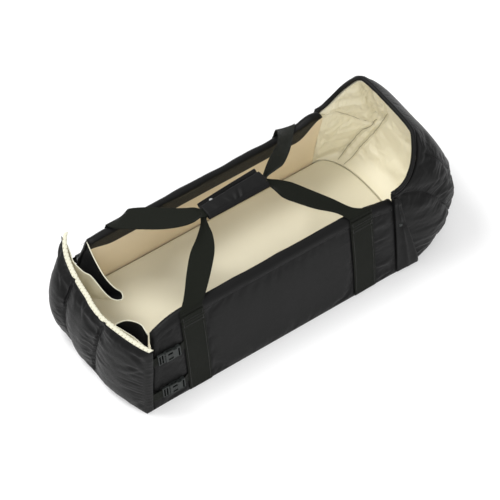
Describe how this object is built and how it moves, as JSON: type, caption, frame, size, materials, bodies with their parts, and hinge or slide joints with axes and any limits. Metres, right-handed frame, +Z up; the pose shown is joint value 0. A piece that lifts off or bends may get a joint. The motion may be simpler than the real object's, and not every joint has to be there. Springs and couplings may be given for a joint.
{
  "type": "carrycot",
  "caption": "Soft carrycot with a raised padded hood, quilted foot flap that folds out on side release buckles, mattress and carry handles joined by a grip wrap.",
  "frame": {"origin": "on the floor under the base cloth, midway across the cot and between the foot flap and the hood", "axes": "+X towards the head end, +Y towards the far side, +Z up"},
  "size_m": [0.8119, 0.3234, 0.3196],
  "materials": {
    "outer_cloth": "matt woven",
    "webbing": "ribbed woven",
    "lining_satin": "soft sheen",
    "ribbed_lining": "fine ribbed",
    "cream_cloth": "matt woven",
    "moulding": "fine moulded",
    "stud_metal": "nickel plated",
    "padding": "open foam",
    "stiffener": "plain sheet"
  },
  "bodies": {
    "carrycot": {"base_cloth": "outer_cloth", "base_board": "stiffener", "mattress_cover": "cream_cloth", "mattress_core": "padding", "near_side_cover": "outer_cloth", "near_side_board": "padding", "near_side_lining": "ribbed_lining", "near_band_foot": "webbing", "near_band_head": "webbing", "near_hood_pleat": "outer_cloth", "near_hood_snap": "moulding", "near_foot_gusset": "outer_cloth", "buckle_female_near_lower": "moulding", "band_tab_near_lower": "webbing", "buckle_female_near_upper": "moulding", "band_tab_near_upper": "webbing", "far_side_cover": "outer_cloth", "far_side_board": "padding", "far_side_lining": "ribbed_lining", "far_band_foot": "webbing", "far_band_head": "webbing", "far_hood_pleat": "outer_cloth", "far_hood_snap": "moulding", "far_foot_gusset": "outer_cloth", "buckle_female_far_lower": "moulding", "band_tab_far_lower": "webbing", "buckle_female_far_upper": "moulding", "band_tab_far_upper": "webbing", "hood_shell": "outer_cloth", "hood_wadding": "padding", "hood_lining": "lining_satin", "hood_rim": "outer_cloth"},
    "foot_flap": {"flap_cover": "outer_cloth", "flap_wadding": "padding", "flap_lining": "lining_satin", "flap_edge_strip": "cream_cloth", "flap_tab_near_lower": "webbing", "flap_tab_near_upper": "webbing", "flap_tab_far_lower": "webbing", "flap_tab_far_upper": "webbing"},
    "male_near_lower": {"buckle_male_near_lower": "moulding"},
    "male_near_upper": {"buckle_male_near_upper": "moulding"},
    "male_far_lower": {"buckle_male_far_lower": "moulding"},
    "male_far_upper": {"buckle_male_far_upper": "moulding"},
    "near_carry_handle": {"near_handle": "webbing", "grip_wrap": "outer_cloth", "stud_post_foot": "stud_metal", "stud_post_head": "stud_metal"},
    "far_carry_handle": {"far_handle": "webbing"},
    "wrap_leaf": {"grip_wrap_leaf": "outer_cloth", "stud_socket_foot": "stud_metal", "stud_socket_head": "stud_metal"}
  },
  "joints": [
    {"name": "foot_flap_hinge", "type": "hinge", "parent": "carrycot", "child": "foot_flap", "pos_m": [-0.4, 0, 0.012], "axis": [0, -1, 0], "range_deg": [0, 90], "deforming": ["near_foot_gusset", "far_foot_gusset"]},
    {"name": "buckle_release_near_lower", "type": "slide", "parent": "foot_flap", "child": "male_near_lower", "axis": [-1, 0, 0], "range_m": [0, 0.02], "deforming": ["flap_tab_near_lower"]},
    {"name": "buckle_release_near_upper", "type": "slide", "parent": "foot_flap", "child": "male_near_upper", "axis": [-1, 0, 0], "range_m": [0, 0.02], "deforming": ["flap_tab_near_upper"]},
    {"name": "buckle_release_far_lower", "type": "slide", "parent": "foot_flap", "child": "male_far_lower", "axis": [-1, 0, 0], "range_m": [0, 0.02], "deforming": ["flap_tab_far_lower"]},
    {"name": "buckle_release_far_upper", "type": "slide", "parent": "foot_flap", "child": "male_far_upper", "axis": [-1, 0, 0], "range_m": [0, 0.02], "deforming": ["flap_tab_far_upper"]},
    {"name": "near_handle_swing", "type": "hinge", "parent": "carrycot", "child": "near_carry_handle", "pos_m": [0, -0.1272, 0.2172], "axis": [1, 0, 0], "range_deg": [0, 150]},
    {"name": "far_handle_swing", "type": "hinge", "parent": "carrycot", "child": "far_carry_handle", "pos_m": [0, 0.1272, 0.2172], "axis": [1, 0, 0], "range_deg": [-150, 0]},
    {"name": "wrap_leaf_open", "type": "hinge", "parent": "near_carry_handle", "child": "wrap_leaf", "pos_m": [-0.055, -0.0127, 0.29355], "axis": [1, 0, 0], "range_deg": [0, 125]}
  ],
  "couplings": [
    {"joint": "far_handle_swing", "follows": "near_handle_swing", "ratio": -1},
    {"joint": "wrap_leaf_open", "follows": "near_handle_swing", "ratio": 0.8}
  ]
}
